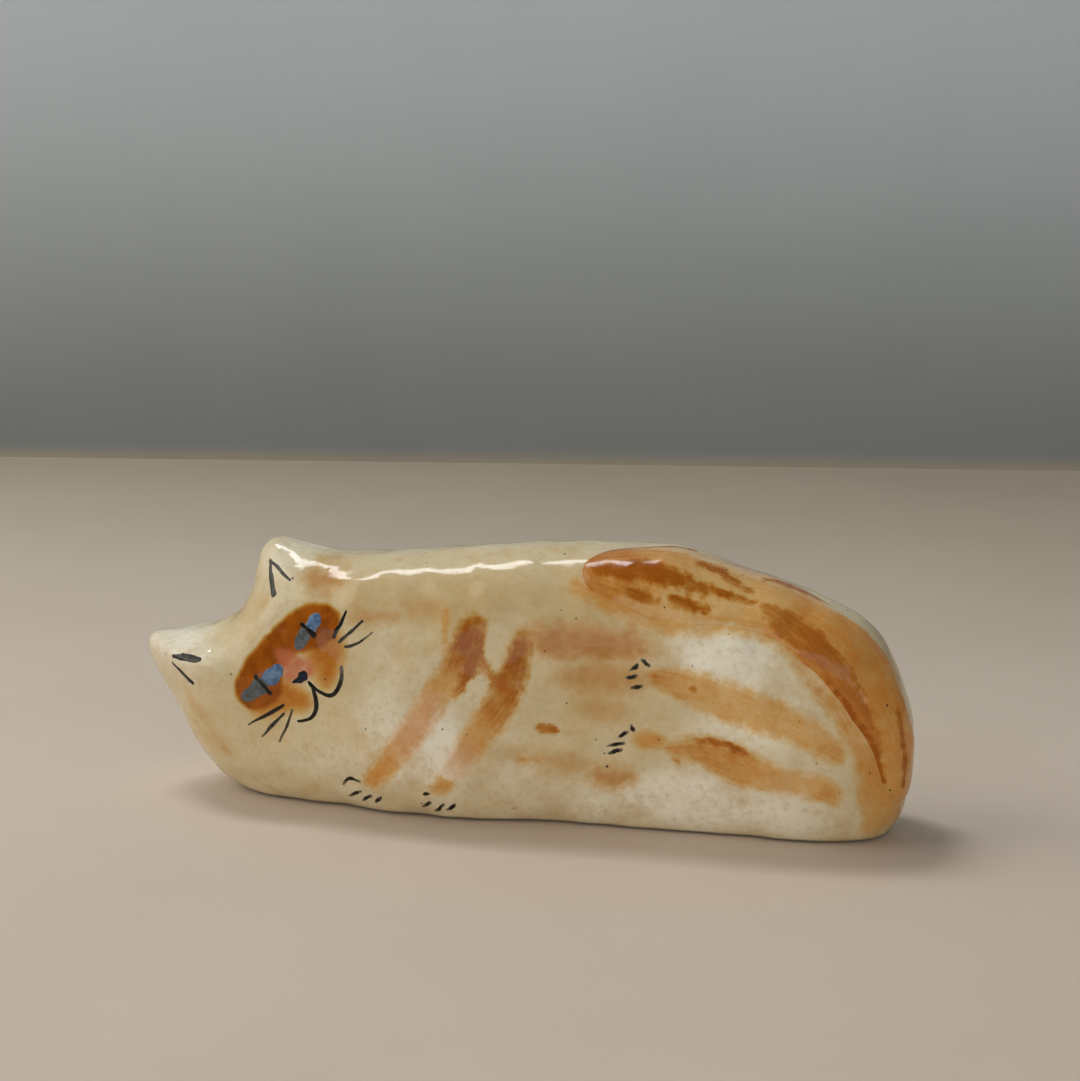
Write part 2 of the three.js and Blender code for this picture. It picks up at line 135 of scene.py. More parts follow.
def by_length(curve):
    """A closed curve's places, and the share of its length reached at each."""
    closed = np.concatenate([curve, curve[:1]])
    reached = np.concatenate([[0.0], np.cumsum(np.linalg.norm(np.diff(closed, axis=0), axis=1))])
    return reached / reached[-1], closed


EDGE_SHARES, EDGE_PLACES = by_length(closed_spline(OUTLINE, 24))


def edge_at(share):
    return np.stack([np.interp(share, EDGE_SHARES, EDGE_PLACES[:, k]) for k in (0, 1)], -1)


def share_across(share):
    belly = 1 - RUMP_SHARE
    return np.where(share <= RUMP_SHARE, 1 - share * belly / RUMP_SHARE, (1 - share) * RUMP_SHARE / belly)


def bell(x, z, centre_x, centre_z, spread_x, spread_z):
    return np.exp(-((x - centre_x) / spread_x) ** 2 - ((z - centre_z) / spread_z) ** 2)


def front_depth(x, z):
    swells = sum(height * bell(x, z, cx, cz, sx, sz) for cx, cz, sx, sz, height in FRONT_SWELLS)
    return FRONT_DEPTH + swells


def ear_thinning(x, z):
    share = 1.0
    for tip_x, tip_z in EAR_TIPS:
        share = share * (1 - EAR_THINNING * bell(x, z, tip_x, tip_z, EAR_PINCH_SPREAD, EAR_PINCH_SPREAD))
    return share


def body_points(share, angle):
    """Points in millimetres. share runs round the outline; angle is 0 on the edge, -90 degrees in front."""
    edge = edge_at(share)
    across = edge_at(share_across(share))
    spine_x = (edge[..., 0] + across[..., 0]) / 2 * SPINE_SHARE
    inward = 1 - np.abs(np.cos(angle)) ** (2 / EDGE_ROUNDNESS)
    swell = np.abs(np.sin(angle)) ** (2 / EDGE_ROUNDNESS)
    x = edge[..., 0] + (spine_x - edge[..., 0]) * inward
    z = edge[..., 1] + (SPINE_HEIGHT - edge[..., 1]) * inward
    depth = np.where(angle < 0, -front_depth(x, z), BACK_DEPTH)
    return np.stack([x, swell * depth * ear_thinning(x, z), z], -1)


def ripples():
    """Waves that together make the gentle lumps of hand-pressed clay: direction, height and phase."""
    rng = np.random.default_rng(SEED)
    waves = []
    for wavelength, height, count in ((22.0, 0.10, 7), (11.0, 0.05, 9), (5.0, 0.04, 9), (2.4, 0.011, 9)):
        for _ in range(count):
            heading = rng.normal(size=3)
            heading /= np.linalg.norm(heading)
            stretch = rng.uniform(0.7, 1.4)
            phase = rng.uniform(0, 2 * math.pi)
            waves.append((heading * 2 * math.pi / (wavelength * stretch), height, phase))
    return waves


RIPPLES = ripples()


def unevenness(points):
    """How far hand-pressing moved the surface in or out at each point, which is least along the outline."""
    waves = sum(height * np.sin(points @ wave + phase) for wave, height, phase in RIPPLES)
    return waves * (EDGE_CALM + (1 - EDGE_CALM) * np.abs(points[..., 1]) / FRONT_DEPTH)


def press_foot(points):
    """The same points with everything below the table pressed flat against it, with a soft edge."""
    pressed = points.copy()
    z = points[..., 2]
    pressed[..., 2] = np.maximum((z + np.sqrt(z**2 + FOOT_ROUNDING**2)) / 2 - FOOT_SINK, 0.0)
    return pressed


# ---------------------------------------------------------------- where the tail lies

# The tail lies along the back and the rump, between two lines given as angles round the body's edge, listed
# evenly along it: the inner line on the front face, and the outer line on or just behind the edge. Its tip
# is at TAIL_TIP_X along the back, and it ends low on the rump.
TAIL_TIP_X = 8.7
TAIL_END_SHARE = 0.528
TAIL_INNER = [-0.72, -0.87, -0.97, -0.96, -0.86, -0.85, -0.93, -0.92, -0.85, -0.68, -0.50]
TAIL_OUTER = [-0.24, -0.04, 0.08, 0.13, 0.08, -0.05, -0.14, -0.14, -0.08, 0.02, 0.10]
TAIL_RELIEF = [0.25, 0.25, 0.20, 0.20, 0.30, 0.50, 0.75, 0.90, 0.90, 0.70, 0.30]
TAIL_LEAN = 0.38  # how much higher the relief stands at the inner line than at the outer
TAIL_END_ROUNDING = 0.05  # share of the tail's length over which each end closes
TAIL_DEPTH = 0.8  # how far the coil reaches into the clay
TAIL_TUCK = 0.1  # how far its edges dip under the clay, so that a crease runs along them
TAIL_HALF_WIDTH = 4.0  # nominal, for places across the tail
TAIL_STEPS = 320
TAIL_ACROSS = 44


def share_at_back(x):
    """Where the back's edge reaches a place along X, as a share of the way round."""
    back = (EDGE_SHARES > 0.2) & (EDGE_SHARES < 0.45)
    return float(np.interp(x, EDGE_PLACES[back, 0], EDGE_SHARES[back]))


TAIL_START_SHARE = share_at_back(TAIL_TIP_X)


def tail_inner_line():
    """The tail's inner line in the front view."""
    shares = np.linspace(TAIL_START_SHARE, TAIL_END_SHARE, len(TAIL_INNER))
    return body_points(shares, np.array(TAIL_INNER))[:, [0, 2]]


# ---------------------------------------------------------------- brush strokes, in the front view


def open_spline(points, count):
    """Places along an open, uniform Catmull-Rom curve through the points."""
    p = np.array(points, float)
    if len(p) == 1:
        return np.repeat(p, count, axis=0)
    t = np.linspace(0, len(p) - 1, count)
    i = np.minimum(t.astype(int), len(p) - 2)
    w = (t - i)[:, None]
    p0, p1 = p[np.maximum(i - 1, 0)], p[i]
    p2, p3 = p[i + 1], p[np.minimum(i + 2, len(p) - 1)]
    v0, v1 = (p2 - p0) / 2, (p3 - p1) / 2
    return (2 * p1 - 2 * p2 + v0 + v1) * w**3 + (-3 * p1 + 3 * p2 - 2 * v0 - v1) * w**2 + v0 * w + p1


def along(values, shares):
    """A list of values spread evenly over 0 to 1, read at some shares."""
    return np.interp(shares, np.linspace(0, 1, len(values)), values)


STROKE_SAMPLES = 90  # places along a soft stroke's centre line


class Stroke:
    """A soft brush stroke: a centre line, and its width, load of colour and tone along it."""

    def __init__(self, points, widths, load=(1.0,), tone=(0.5,)):
        self.line = open_spline(points, STROKE_SAMPLES)
        steps = np.linalg.norm(np.diff(self.line, axis=0), axis=1)
        self.reached = np.concatenate([[0.0], np.cumsum(steps)])
        self.widths, self.load, self.tone = widths, load, tone

    def lay(self, x, z):
        """How far inside the stroke each place is, how far along and across it, its load and its tone."""
        places = np.stack([x, z], -1)
        nearest = np.zeros(len(x), int)
        least = np.full(len(x), np.inf)
        for i, point in enumerate(self.line):
            distance = np.linalg.norm(places - point, axis=1)
            closer = distance < least
            least[closer] = distance[closer]
            nearest[closer] = i
        shares = nearest / (STROKE_SAMPLES - 1)
        tangents = np.gradient(self.line, axis=0)
        tangents = tangents / np.maximum(np.linalg.norm(tangents, axis=1, keepdims=True), 1e-9)
        tangent = tangents[nearest]
        offset = places - self.line[nearest]
        ahead = (offset * tangent).sum(1)
        across = offset[:, 0] * tangent[:, 1] - offset[:, 1] * tangent[:, 0]
        inside = along(self.widths, shares) / 2 - least
        reached = self.reached[nearest] + ahead
        return inside, reached, across, along(self.load, shares), along(self.tone, shares)


WASH_CURVE_STEPS = 12  # places on a wash's outline between two of its points


class Wash:
    """A soft area of colour inside a closed outline, all of one load and tone."""

    def __init__(self, points, load=1.0, tone=0.5):
        self.outline = closed_spline(points, WASH_CURVE_STEPS)
        self.load, self.tone = load, tone

    def lay(self, x, z):
        least = np.full(len(x), np.inf)
        within = np.zeros(len(x), bool)
        for (ax, az), (bx, bz) in zip(self.outline, np.roll(self.outline, -1, axis=0)):
            length_squared = (bx - ax) ** 2 + (bz - az) ** 2
            share = np.clip(((x - ax) * (bx - ax) + (z - az) * (bz - az)) / length_squared, 0, 1)
            least = np.minimum(least, np.hypot(x - ax - share * (bx - ax), z - az - share * (bz - az)))
            if az != bz:
                within ^= ((az > z) != (bz > z)) & (x < (bx - ax) * (z - az) / (bz - az) + ax)
        inside = np.where(within, least, -least)
        return inside, x, z, np.full(len(x), self.load), np.full(len(x), self.tone)


def dab(x, z, length, width, tilt, load=1.0, tone=0.5):
    """A soft elliptical spot, its long side tilted from +X by some degrees."""
    a = math.radians(tilt)
    turns = np.linspace(0, 2 * math.pi, 10, endpoint=False)
    u, v = np.cos(turns) * length / 2, np.sin(turns) * width / 2
    points = np.stack([x + u * math.cos(a) - v * math.sin(a), z + u * math.sin(a) + v * math.cos(a)], -1)
    return Wash(points, load, tone)


# Tones run from 0, thin and pinkish, through 0.5, orange-tan, to 1, deep burnt orange.
LEGS = [
    # left foreleg: a dense block at the shoulder, a dark inner streak, a thin pinkish shin, an orange paw
    Stroke(
        [(-1.9, 20.2), (-2.5, 18.3), (-3.9, 15.4), (-5.6, 12.7), (-7.8, 9.5), (-10.0, 6.6), (-12.3, 3.9)],
        [2.7, 3.0, 2.9, 3.0, 2.9, 2.4, 1.9],
        load=[0.9, 1.0, 0.62, 0.6, 0.62, 0.7, 0.75],
        tone=[1.0, 1.0, 0.7, 0.25, 0.2, 0.4, 0.6],
    ),
    # right foreleg: the same, its paint thinning almost to nothing above the paw, where the pale pink is
    # partly a painted highlight
    Stroke(
        [(3.0, 18.9), (2.6, 17.0), (1.8, 14.3), (0.4, 11.8), (-1.2, 9.6), (-2.6, 7.4), (-3.8, 5.6)],
        [2.2, 2.6, 3.2, 3.4, 3.2, 2.8, 2.2],
        load=[0.85, 0.9, 0.85, 0.75, 0.62, 0.45, 0.2],
        tone=[1.0, 1.0, 0.9, 0.75, 0.5, 0.2, 0.1],
    ),
    dab(-4.9, 4.1, 3.1, 2.3, 45, load=0.62, tone=0.6),
    # orange that ran off the tail onto the body along its inner line
    Stroke(
        [(29.5, 18.0), (31.6, 15.8), (33.6, 13.4), (35.0, 11.0), (36.3, 8.4), (37.4, 5.6),
         (37.8, 3.2), (37.0, 1.6)],
        [0.6, 1.2, 1.5, 1.6, 2.2, 3.8, 4.4, 2.6],
        load=[0.5, 0.6, 0.6, 0.6, 0.65, 0.6, 0.5, 0.4],
        tone=[0.7, 0.6, 0.55, 0.5],
    ),
    # hind legs
    Stroke(
        [(16.2, 16.4), (20.5, 15.3), (25.0, 13.9), (28.3, 12.9), (31.0, 11.6), (33.6, 9.9)],
        [1.6, 3.9, 4.1, 3.7, 3.2, 2.5],
        load=[0.8, 0.5, 0.55, 0.5, 0.5, 0.7],
        tone=[0.75, 0.5, 0.5, 0.5, 0.5, 0.6],
    ),
    Stroke(
        [(17.6, 9.2), (20.6, 9.3), (23.5, 8.5), (26.0, 7.5), (28.6, 6.9), (30.8, 6.6),
         (32.4, 6.1), (33.2, 5.6)],
        [1.2, 3.0, 4.3, 3.8, 3.2, 2.6, 2.9, 2.2],
        load=[0.75, 0.7, 0.8, 0.65, 0.45, 0.4, 0.75, 0.7],
        tone=[0.65, 0.7, 0.65, 0.5, 0.4, 0.4, 0.55, 0.55],
    ),
    dab(15.7, 9.9, 3.6, 2.2, 0, load=0.6, tone=0.55),
]
FLECKS = [
    # darker touches over the legs, and where the brush was lifted
    Stroke([(-1.2, 18.0), (-2.2, 15.6), (-3.6, 13.4)], [1.6, 1.2, 0.8],
           load=[0.9, 0.9, 0.5], tone=[1.0, 0.95, 0.7]),
    Stroke([(-1.2, 17.4), (0.3, 15.6), (1.1, 14.6)], [1.0, 1.1, 1.0],
           load=[0.7, 0.8, 0.6], tone=[0.9, 0.8, 0.8]),
    Stroke([(20.0, 10.2), (22.8, 10.3), (24.0, 10.0), (25.7, 9.1)], [0.5, 0.7, 0.8, 0.4],
           load=[0.6, 0.8, 1.0, 0.8], tone=[0.9]),
    dab(19.9, 15.5, 0.9, 0.7, 0, load=0.6, tone=0.95),
    dab(5.5, 10.4, 2.4, 1.2, -8, load=0.8, tone=0.85),
    dab(3.6, 7.1, 2.6, 0.6, 4, load=0.4, tone=0.6),
    dab(18.2, 8.0, 1.6, 0.4, -30, load=0.6, tone=0.7),
    Stroke([(-4.7, 21.5), (-4.5, 19.6), (-4.5, 17.6)], [0.7, 0.9, 0.8], load=[0.5, 0.45, 0.3], tone=[0.5]),
]
MASK = [
    Wash([
        (-15.8, 20.5), (-16.8, 21.2), (-18.6, 21.5), (-20.6, 20.9), (-22.4, 19.5), (-24.2, 17.7),
        (-26.0, 15.4), (-27.0, 13.0), (-26.9, 11.2), (-25.4, 10.2), (-23.2, 10.9), (-21.8, 12.4),
        (-21.8, 14.6), (-20.6, 16.2), (-18.6, 17.0), (-16.9, 17.6), (-15.9, 18.8),
    ], load=1.2),
]
CHEEKS = [
    Wash([
        (-19.6, 18.2), (-17.6, 19.6), (-15.6, 19.2), (-14.9, 17.6), (-15.1, 15.6), (-15.7, 14.0),
        (-16.8, 13.1), (-18.0, 13.9), (-18.8, 15.6),
    ], load=0.85),
    Wash([
        (-24.0, 13.0), (-21.8, 14.0), (-20.2, 13.4), (-18.9, 12.7), (-18.5, 11.4), (-19.4, 10.5),
        (-21.0, 10.4), (-23.0, 9.8), (-25.2, 9.6), (-26.0, 10.8),
    ], load=0.85),
]
MUZZLE = [
    Wash([
        (-22.9, 16.5), (-21.2, 16.9), (-19.6, 16.5), (-18.2, 15.7), (-18.2, 14.5), (-19.6, 13.5),
        (-21.4, 13.2), (-22.1, 14.6),
    ], load=0.85),
]
FUR = [
    dab(-18.4, 23.6, 5.0, 2.6, -8, load=0.75),
    dab(-12.0, 20.6, 6.0, 1.6, 8, load=0.6),
    dab(-7.0, 21.4, 6.0, 2.2, -4, load=0.4),
    Wash([
        (3.0, 20.2), (8.0, 21.3), (12.5, 21.1), (15.6, 20.5), (16.4, 18.8), (13.0, 17.8), (9.0, 17.4),
        (5.0, 17.6),
    ], load=0.95),
    dab(11.0, 15.9, 9.5, 3.6, 5, load=0.6),
    dab(10.9, 12.6, 6.0, 3.0, 0, load=0.4),
    dab(11.8, 5.9, 5.0, 3.2, -5, load=0.75),
    dab(6.0, 7.2, 9.0, 3.0, -5, load=0.4),
    dab(-13.0, 8.5, 8.0, 1.0, -55, load=0.3),
    dab(-31.0, 8.0, 9.0, 1.6, -55, load=0.45),
    dab(-25.0, 21.0, 4.0, 1.2, 50, load=0.35),
]
# Broad places where the clay is drawn paler or more tan: x, z, half widths, and from -1 tan to 1 pale. Some
# rows are painted light and shade, as noted above them.
CLAY_TINTS_AND_SHADING = [
    # painted highlight: the pale between the forelegs
    (-4.8, 8.0, 2.2, 5.0, 1.3),
    (7.6, 10.5, 3.0, 2.5, 0.5),
    # partly painted highlight: the pale low on the belly
    (18.0, 4.6, 7.0, 2.6, 1.1),
    (26.0, 3.0, 8.0, 2.5, 0.8),
    (25.0, 11.6, 6.0, 1.6, 0.8),
    (22.5, 19.0, 6.5, 3.0, 1.1),
    (-23.0, 25.0, 3.0, 2.0, 0.7),
    (-11.0, 12.0, 3.5, 5.0, 0.35),
    (-34.0, 16.0, 5.0, 1.6, 0.8),
    # painted shade: the tan band along the top of the back
    (1.0, 23.0, 20.0, 2.8, -0.9),
    (-28.0, 5.0, 6.0, 3.5, -0.5),
    (10.0, 12.5, 7.0, 7.0, -0.55),
    (-20.0, 5.0, 6.0, 3.0, 0.4),
    (-3.0, 14.5, 2.4, 5.0, -0.3),
    # painted shade: the rump's end, the head by the ears' valley, and the neck drawn darker
    (38.0, 10.0, 3.0, 12.0, -0.6),
    (-29.0, 17.5, 3.0, 4.0, -0.5),
    (-13.5, 15.5, 3.0, 4.0, -0.5),
]

SPILL = [
    # the tail's colour where it ran past the crease onto the body
    Stroke(
        tail_inner_line(), [1.2, 2.2, 2.4, 2.2, 1.8, 1.2, 1.2, 1.4, 1.8, 2.4, 2.0],
        load=[0.7, 0.6, 0.5, 0.45, 0.45, 0.5, 0.45, 0.4, 0.4, 0.4, 0.3], tone=[0.6, 0.5, 0.5],
    ),
]

# Places on the tail are millimetres from its tip, and across it from -4, its inner line, to 4, its outer.
TAIL_COAT = [
    Stroke(
        [(0.4, -0.4), (6.0, -0.9), (12.0, -1.2), (18.0, -1.1), (24.0, -0.8), (30.0, -0.6),
         (38.0, -0.3), (46.0, -0.3)],
        [8.2, 7.4, 6.2, 6.0, 7.0, 8.6, 9.6, 9.6],
        load=[1.0, 0.75, 0.42, 0.5, 0.8, 0.85, 0.85, 0.6],
        tone=[0.8, 0.7, 0.55, 0.55, 0.55, 0.5, 0.5, 0.55],
    ),
    Stroke([(6.0, 3.0), (12.0, 2.4), (18.0, 2.6), (25.0, 2.4)], [2.0, 2.4, 1.6, 1.2],
           load=[0.5, 0.3, 0.4, 0.6], tone=[0.3]),
]
TAIL_STREAKS_AND_CREASE_SHADE = [
    Stroke([(1.0, 3.2), (5.0, 3.7), (9.4, 3.8)], [1.6, 1.5, 1.0], load=[0.8, 0.95, 1.0], tone=[1.0]),
    Stroke(
        [(2.0, -1.0), (5.5, -0.7), (8.3, -0.9), (11.4, -1.2), (15.0, -1.2), (18.0, -1.5)],
        [2.0, 2.6, 1.8, 1.3, 0.9, 0.5], load=[0.8, 1.0, 0.95, 0.95, 0.9, 0.6], tone=[1.0],
    ),
    Stroke([(5.4, -2.7), (8.2, -2.9), (9.6, -2.8)], [0.6, 1.0, 0.5], load=[0.9], tone=[1.0]),
    Stroke([(10.4, -2.5), (12.9, -2.7), (14.9, -2.9)], [0.5, 1.2, 0.5], load=[0.9], tone=[1.0]),
    Stroke([(11.2, 1.2), (13.8, 0.7)], [1.1, 0.8], load=[0.85], tone=[0.95]),
    Stroke([(14.0, 0.4), (17.2, -0.4)], [0.9, 0.6], load=[0.8], tone=[0.9]),
    Stroke([(17.3, 1.9), (20.4, 3.0), (23.4, 3.7)], [0.8, 1.3, 0.9], load=[0.8, 1.0, 0.8], tone=[1.0]),
    Stroke(
        [(19.5, -1.6), (22.0, -2.1), (25.0, -2.4), (28.8, -2.7), (32.6, -2.8), (36.0, -2.9), (40.0, -3.2)],
        [1.0, 2.4, 3.0, 2.6, 2.2, 1.6, 1.0], load=[0.6, 0.8, 0.85, 0.85, 0.8, 0.8, 0.7], tone=[0.85],
    ),
    # deep orange along the inner line low on the rump, partly painted shade in the crease
    Stroke([(28.0, -3.6), (33.0, -3.6), (38.0, -3.7), (44.0, -3.8)], [0.6, 1.0, 1.2, 0.8],
           load=[0.9, 1.0, 1.0, 0.8], tone=[1.0]),
    Stroke([(36.5, 0.6), (41.2, -0.4), (44.0, -0.8)], [0.7, 1.0, 0.6], load=[0.9], tone=[1.0]),
]

# ---------------------------------------------------------------- meshes


def new_object(name, vertices, faces, smooth=True):
    """A mesh object from points in millimetres."""
    mesh = bpy.data.meshes.new(name)
    mesh.from_pydata((np.asarray(vertices) * MM).tolist(), [], faces)
    mesh.validate()
    mesh.polygons.foreach_set("use_smooth", [smooth] * len(mesh.polygons))
    piece = bpy.data.objects.new(name, mesh)
    bpy.context.scene.collection.objects.link(piece)
    return piece


def vertex_arrays(piece):
    """The places of a piece's vertices in millimetres, and the directions they face."""
    mesh = piece.data
    places = np.empty(len(mesh.vertices) * 3)
    mesh.vertices.foreach_get("co", places)
    normals = np.empty(len(mesh.vertices) * 3)
    mesh.vertices.foreach_get("normal", normals)
    return places.reshape(-1, 3) / MM, normals.reshape(-1, 3)


def move_vertices(piece, places):
    piece.data.vertices.foreach_set("co", (places * MM).ravel())
    piece.data.update()


def write_attribute(piece, name, values):
    attribute = piece.data.attributes.new(name, "FLOAT", "POINT")
    attribute.data.foreach_set("value", np.broadcast_to(values, len(piece.data.vertices)).astype(np.float32))


def write_paint(piece, group, strokes, x, z, shown):
    """Writes, for one group of strokes, what the uppermost stroke lays at each vertex."""
    best = [np.full(len(x), -50.0)] + [np.zeros(len(x)) for _ in range(4)]
    for stroke in strokes:
        laid = stroke.lay(x, z)
        wins = laid[0] > best[0]
        for kept, new in zip(best, laid):
            kept[wins] = new[wins]
    best[0] = np.where(shown, best[0], -50.0)
    for name, values in zip(("inside", "along", "across", "load", "tone"), best):
        write_attribute(piece, f"{group}_{name}", values)


# broad tints of the clay, with painted shade and painted highlights among them
def write_clay_tint_and_shading(piece, x, z):
    tint_and_shading = sum(amount * bell(x, z, cx, cz, sx, sz) for cx, cz, sx, sz, amount in CLAY_TINTS_AND_SHADING)
    write_attribute(piece, "tint_and_shading", tint_and_shading)


AROUND_HALF = 210
ARC_RINGS = 92


def body_grid():
    """Points and faces of the body: rings from the back's middle line over the edge to the front's."""
    half = np.arange(2 * AROUND_HALF) / AROUND_HALF
    shares = np.where(half <= 1, half * RUMP_SHARE, RUMP_SHARE + (half - 1) * (1 - RUMP_SHARE))
    angles = np.linspace(-math.pi / 2, math.pi / 2, 2 * ARC_RINGS + 1)
    points = body_points(shares[None, :], angles[:, None])
    count = 2 * AROUND_HALF
    faces = []
    for ring in range(len(angles) - 1):
        for step in range(count):
            a, b = ring * count + step, ring * count + (step + 1) % count
            faces.append((a, b, b + count, a + count))
    return points.reshape(-1, 3), faces


def merged(points, faces):
    """The same surface with points that share a place joined, and flat faces dropped."""
    keys = np.round(points, 4)
    _, first, back = np.unique(keys, axis=0, return_index=True, return_inverse=True)
    back = back.ravel()
    kept = []
    for face in faces:
        corners = []
        for corner in (int(back[i]) for i in face):
            if corner not in corners:
                corners.append(corner)
        if len(corners) > 2:
            kept.append(corners)
    return points[first], kept


def make_body():
    points, faces = merged(*body_grid())
    body = new_object("clay_body_glazed", points, faces)
    places, normals = vertex_arrays(body)
    front = places[:, 1] < 0
    x, z = places[:, 0], places[:, 2]
    write_paint(body, "legs", LEGS, x, z, front)
    write_paint(body, "flecks", FLECKS, x, z, front)
    write_paint(body, "mask", MASK, x, z, front)
    write_paint(body, "cheeks", CHEEKS, x, z, front)
    write_paint(body, "muzzle", MUZZLE, x, z, front)
    write_paint(body, "fur", FUR, x, z, front)
    write_paint(body, "spill", SPILL, x, z, front)
    write_clay_tint_and_shading(body, x, z)
    places = press_foot(places + normals * unevenness(places)[:, None])
    # the foot line: bare clay, and painted contact shadow along the table
    write_attribute(body, "foot", np.clip(1 - places[:, 2] / FOOT_LINE_AND_SHADOW, 0, 1))
    move_vertices(body, places)
    return body


body = make_body()
body_tree = BVHTree.FromObject(body, bpy.context.evaluated_depsgraph_get())

# ---------------------------------------------------------------- the tail


def surface_directions(share, angle):
    """Unit vectors that the body's surface faces."""
    step = 1e-3
    forward = body_points(share + step, angle) - body_points(share - step, angle)
    sideways = body_points(share, angle + step) - body_points(share, angle - step)
    out = np.cross(forward, sideways)
    return out / np.linalg.norm(out, axis=-1, keepdims=True)


def end_closing(shares, reach):
    """A width factor that rounds both ends of a strip, over a reach at each."""
    nearest = np.minimum(np.minimum(shares, 1 - shares) / reach, 1.0)
    return np.sqrt(np.maximum(1 - (1 - nearest) ** 2, 0.0))


def closed_strip_faces(rows, ring):
    """Faces of a tube of rings; the end rings get no faces of their own."""
    faces = []
    for row in range(rows - 1):
        for i in range(ring):
            a, b = row * ring + i, row * ring + (i + 1) % ring
            faces.append((a, a + ring, b + ring, b))
    return faces


def tail_angle(u, v):
    """The angle round the body's edge at a place along and across the tail, -1 being inner and 1 outer."""
    inner, outer = along(TAIL_INNER, u), along(TAIL_OUTER, u)
    return (inner + outer) / 2 + v * (outer - inner) / 2 * end_closing(u, TAIL_END_ROUNDING)


def tail_rise(u, v):
    """How far the tail's surface stands out of the body's."""
    height = along(TAIL_RELIEF, u) * end_closing(u, TAIL_END_ROUNDING) * (1 - TAIL_LEAN * v)
    return (height + TAIL_TUCK) * np.sqrt(1 - v**2) - TAIL_TUCK


def make_tail():
    even = np.linspace(0, 1, TAIL_STEPS)
    closer_at_ends = (1 - np.cos(even * math.pi)) / 2
    over = np.sin(np.linspace(-math.pi / 2, math.pi / 2, TAIL_ACROSS))
    across = np.concatenate([over, over[-2:0:-1]])
    outside = np.arange(len(across)) < TAIL_ACROSS
    u, v = np.meshgrid((even + closer_at_ends) / 2, across, indexing="ij")
    share, angle = TAIL_START_SHARE + (TAIL_END_SHARE - TAIL_START_SHARE) * u, tail_angle(u, v)
    points = body_points(share, angle)
    rise = np.where(outside, tail_rise(u, v), -TAIL_TUCK - TAIL_DEPTH * np.sqrt(1 - v**2))
    points = points + surface_directions(share, angle) * (rise + unevenness(points))[..., None]
    middle = points[:, TAIL_ACROSS // 2]
    length = np.linalg.norm(np.diff(middle, axis=0), axis=1).sum()
    ring = len(across)
    faces = closed_strip_faces(TAIL_STEPS, ring)
    tail = new_object("tail_coil_glazed", press_foot(points.reshape(-1, 3)), faces)
    along_tail, across_tail = u.ravel() * length, v.ravel() * TAIL_HALF_WIDTH
    write_paint(tail, "coat", TAIL_COAT, along_tail, across_tail, True)
    write_paint(tail, "streaks_and_crease_shade", TAIL_STREAKS_AND_CREASE_SHADE, along_tail, across_tail, True)
    return tail


tail = make_tail()

# ---------------------------------------------------------------- crisp brush marks

MARK_RISE = 0.02  # how far a mark stands proud of the clay at its middle
PUPIL_RISE = 0.045  # pupils lie over the eyes
MARK_TUCK = 0.02  # how far its edges dip under the clay
MARK_WAVER = 0.22  # unevenness of a stroke's width
HAND_SHAKE = 0.06  # how far the brush strayed from its line
SHAKE_TURNS = 6  # places along a stroke where the brush changed course
WAVER_TURNS = 9  # places along a stroke where its width changed
MARK_ROOT = 0.06  # how far it reaches into the clay
MARK_STEPS = 40
MARK_ACROSS = 9
RAY_START = -30.0


def on_front(x, z):
    """The place on the body's front at (x, z), and the direction that it faces."""
    place, facing, _, _ = body_tree.ray_cast(Vector((x, RAY_START, z)) * MM, Vector((0, 1, 0)))
    if place is None:
        place, facing, _, _ = body_tree.find_nearest(Vector((x, -FRONT_DEPTH, z)) * MM)
    return np.array(place) / MM, np.array(facing)


def lay_mark(name, grid, ink, rise):
    """A thin closed scale of colour on the front: a grid of (x, z) rows, with the ink's strength at each."""
    rows, count = grid.shape[:2]
    edge = 1 - np.abs(np.linspace(-1, 1, count)) ** 4
    top, bottom = [], []
    for row in range(rows):
        closing = end_closing(np.array(row / (rows - 1)), 0.08)
        for i in range(count):
            place, facing = on_front(*grid[row, i])
            top.append(place + facing * ((rise + MARK_TUCK) * edge[i] * closing - MARK_TUCK))
            bottom.append(place - facing * (MARK_TUCK + MARK_ROOT * edge[i] * closing))
    vertices = np.array(top + bottom)
    ring = list(range(count)) + [rows * count + i for i in range(count - 2, 0, -1)]
    faces = []
    for row in range(rows - 1):
        for i in range(len(ring)):
            a, b = ring[i] + row * count, ring[(i + 1) % len(ring)] + row * count
            faces.append((a, a + count, b + count, b))
    used = sorted({corner for face in faces for corner in face})
    index = {old: new for new, old in enumerate(used)}
    piece = new_object(name, vertices[used], [tuple(index[i] for i in face) for face in faces])
    strength = np.concatenate([ink.ravel(), ink.ravel()])[used]
    write_attribute(piece, "ink", strength)
    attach(piece, "root")
    return piece


def brush_line(name, points, widths, ink, rise):
    """A crisp stroke: its centre line, its widths, and the strength of the ink along it."""
    rng = np.random.default_rng([SEED, *name.encode()])
    line = open_spline(points, MARK_STEPS)
    shares = np.linspace(0, 1, MARK_STEPS)
    shake = np.stack([along(rng.uniform(-1, 1, SHAKE_TURNS), shares) for _ in range(2)], -1)
    line = line + shake * HAND_SHAKE
    tangents = np.gradient(line, axis=0)
    tangents /= np.linalg.norm(tangents, axis=1, keepdims=True)
    length = np.linalg.norm(np.diff(line, axis=0), axis=1).sum()
    reach = min(0.5, max(widths) / 2 / length)
    waver = 1 + MARK_WAVER * along(rng.uniform(-1, 1, WAVER_TURNS), shares)
    half = along(widths, shares) / 2 * waver * np.maximum(end_closing(shares, reach), 0.02)
    across = np.linspace(-1, 1, MARK_ACROSS)
    side = np.stack([-tangents[:, 1], tangents[:, 0]], -1)
    grid = line[:, None] + side[:, None] * (half[:, None] * across[None, :])[..., None]
    strength = along(ink, shares)[:, None] * (1 - 0.6 * np.abs(across[None, :]) ** 3)
    piece = lay_mark(name + "_mark", grid, strength, rise)
    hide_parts(name)
    return piece


